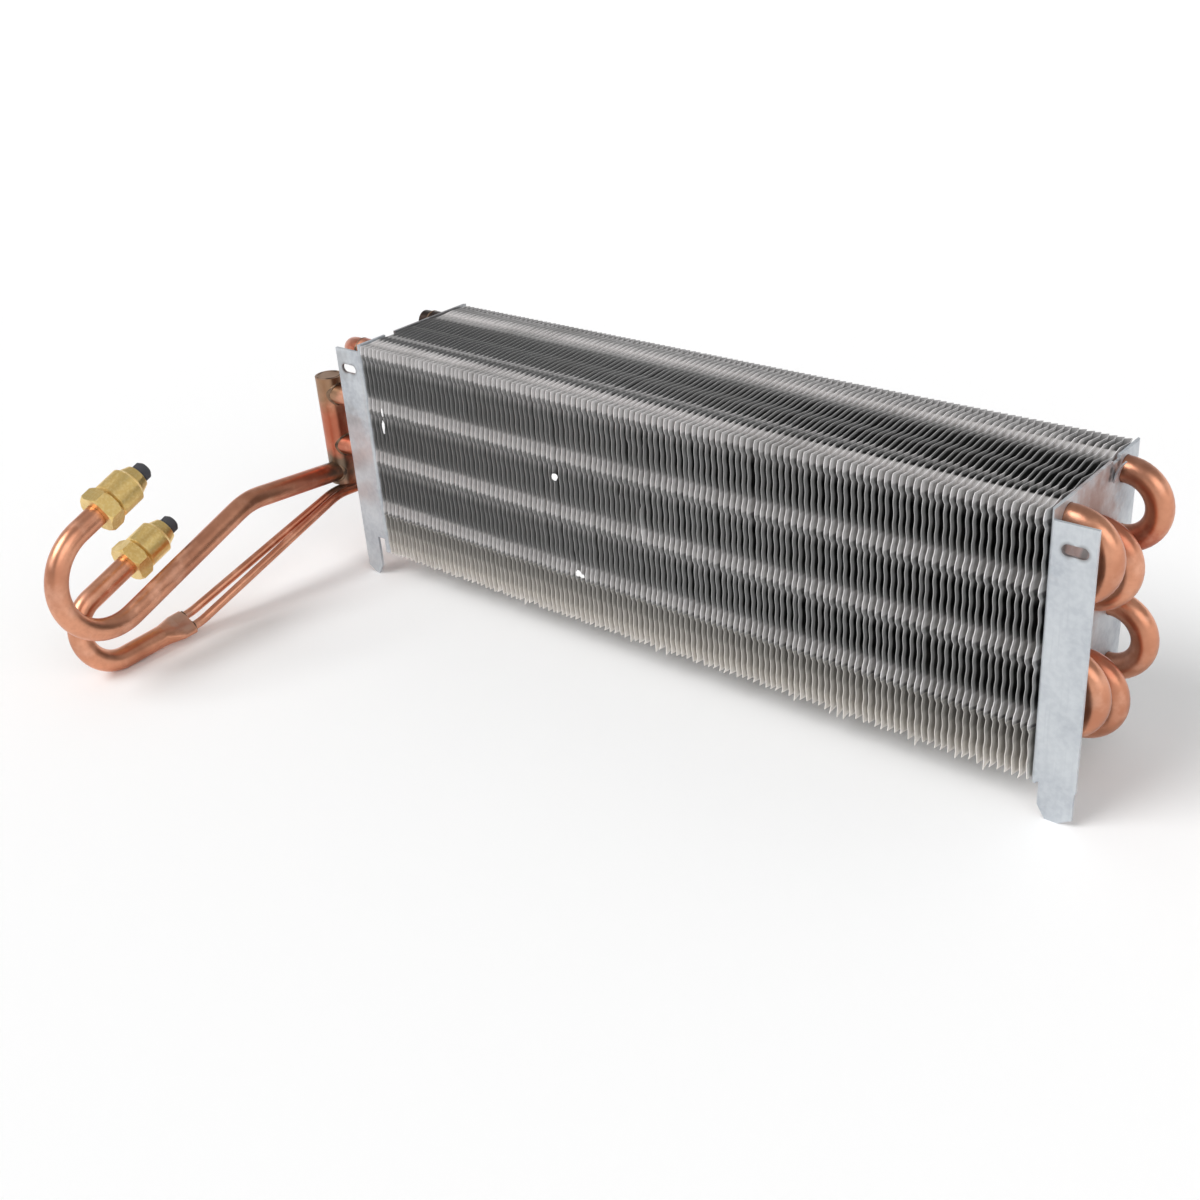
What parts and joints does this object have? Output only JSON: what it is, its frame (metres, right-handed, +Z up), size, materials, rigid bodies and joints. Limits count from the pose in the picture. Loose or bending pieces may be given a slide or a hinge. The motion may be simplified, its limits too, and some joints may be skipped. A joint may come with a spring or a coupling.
{
  "type": "evaporator core",
  "caption": "Fin-and-tube evaporator core with end plates, hairpin bends, suction and liquid lines and capped fittings.",
  "frame": {"origin": "midway between the two slots in the front flanges, on the flanges' front face", "axes": "+X along the tubes from the header end to the hairpin bends, +Y from the front face to the back, +Z up"},
  "size_m": [0.3969, 0.2219, 0.115],
  "materials": {
    "fin_sheet": "thin bright sheet, dulled by use",
    "plate_sheet": "zinc-coated sheet, lightly scratched",
    "copper": "satin copper, heat-marked near the brazed joints",
    "brass": "turned brass, slightly dull",
    "cap_rubber": "matt black"
  },
  "bodies": {
    "root": {"fins": "fin_sheet", "left_end_plate": "plate_sheet", "right_end_plate": "plate_sheet", "hairpin_1_1_2": "copper", "hairpin_1_3_4": "copper", "hairpin_2_1_2": "copper", "hairpin_2_3_4": "copper", "hairpin_3_1_2": "copper", "hairpin_3_3_4": "copper", "return_bend_1_1": "copper", "return_bend_2_2": "copper", "return_bend_1_4": "copper", "return_bend_2_3": "copper", "outlet_stub_2": "copper", "outlet_stub_3": "copper", "inlet_reducer_1": "copper", "inlet_reducer_4": "copper", "suction_header": "copper", "header_plug_top": "copper", "header_plug_bottom": "copper", "suction_line": "copper", "liquid_line": "copper", "distributor_tube_upper": "copper", "distributor_tube_lower": "copper", "suction_union_nut": "brass", "suction_coupling": "brass", "liquid_union_nut": "brass", "liquid_coupling": "brass", "suction_dust_cap": "cap_rubber", "liquid_dust_cap": "cap_rubber"}
  },
  "joints": []
}
